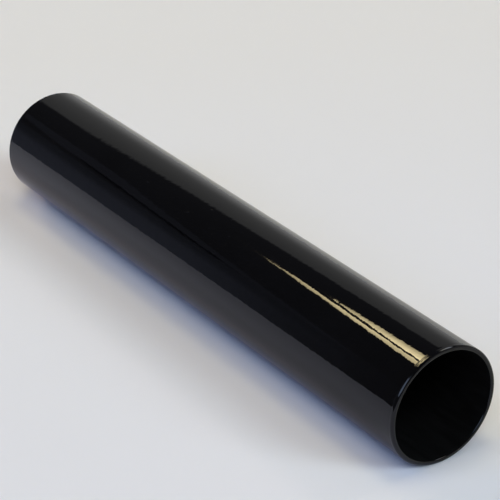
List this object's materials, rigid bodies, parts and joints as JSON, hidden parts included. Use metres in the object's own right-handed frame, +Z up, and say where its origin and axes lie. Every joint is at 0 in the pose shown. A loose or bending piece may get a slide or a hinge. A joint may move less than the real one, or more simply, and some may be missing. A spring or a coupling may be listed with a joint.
{
  "type": "telescoping didgeridoo",
  "caption": "Gloss black telescoping travel didgeridoo, pushed together: nested sliding tubes with guides, seals and a soft mouthpiece inside one plain bell tube.",
  "frame": {"origin": "centre of the underside of the whole instrument as it lies pushed together, on the surface that it lies on", "axes": "+X along the tube, out of the bell; +Z up; the sections slide out towards -X"},
  "size_m": [0.361, 0.06, 0.06],
  "materials": {
    "gloss_black_lacquer": "high-gloss black lacquer, faint orange peel",
    "satin_black_tube": "satin black, drawn along the tube",
    "black_anodised_collar": "black anodised, turned",
    "black_acetal": "turned, semi-matt",
    "grey_felt": "dense wool felt",
    "seal_rubber": "greased nitrile",
    "mouthpiece_silicone": "smooth matt silicone"
  },
  "bodies": {
    "bell_section": {"bell_tube": "gloss_black_lacquer", "bell_guide_bush": "black_acetal", "bell_wiper_felt": "grey_felt"},
    "second_section": {"second_tube": "satin_black_tube", "second_stop_collar": "black_anodised_collar", "second_wiper_felt": "grey_felt", "second_foot_ring": "black_acetal", "second_seal_ring": "seal_rubber"},
    "third_section": {"third_tube": "satin_black_tube", "third_stop_collar": "black_anodised_collar", "third_wiper_felt": "grey_felt", "third_foot_ring": "black_acetal", "third_seal_ring": "seal_rubber"},
    "fourth_section": {"fourth_tube": "satin_black_tube", "fourth_stop_collar": "black_anodised_collar", "fourth_wiper_felt": "grey_felt", "fourth_foot_ring": "black_acetal", "fourth_seal_ring": "seal_rubber"},
    "mouth_section": {"mouth_tube": "satin_black_tube", "mouth_collar": "black_anodised_collar", "mouth_foot_ring": "black_acetal", "mouth_seal_ring": "seal_rubber", "mouthpiece": "mouthpiece_silicone"}
  },
  "joints": [
    {"name": "second_slide", "type": "slide", "parent": "bell_section", "child": "second_section", "axis": [-1, 0, 0], "range_m": [0, 0.258]},
    {"name": "third_slide", "type": "slide", "parent": "second_section", "child": "third_section", "axis": [-1, 0, 0], "range_m": [0, 0.257]},
    {"name": "fourth_slide", "type": "slide", "parent": "third_section", "child": "fourth_section", "axis": [-1, 0, 0], "range_m": [0, 0.2585]},
    {"name": "mouth_slide", "type": "slide", "parent": "fourth_section", "child": "mouth_section", "axis": [-1, 0, 0], "range_m": [0, 0.26]}
  ]
}
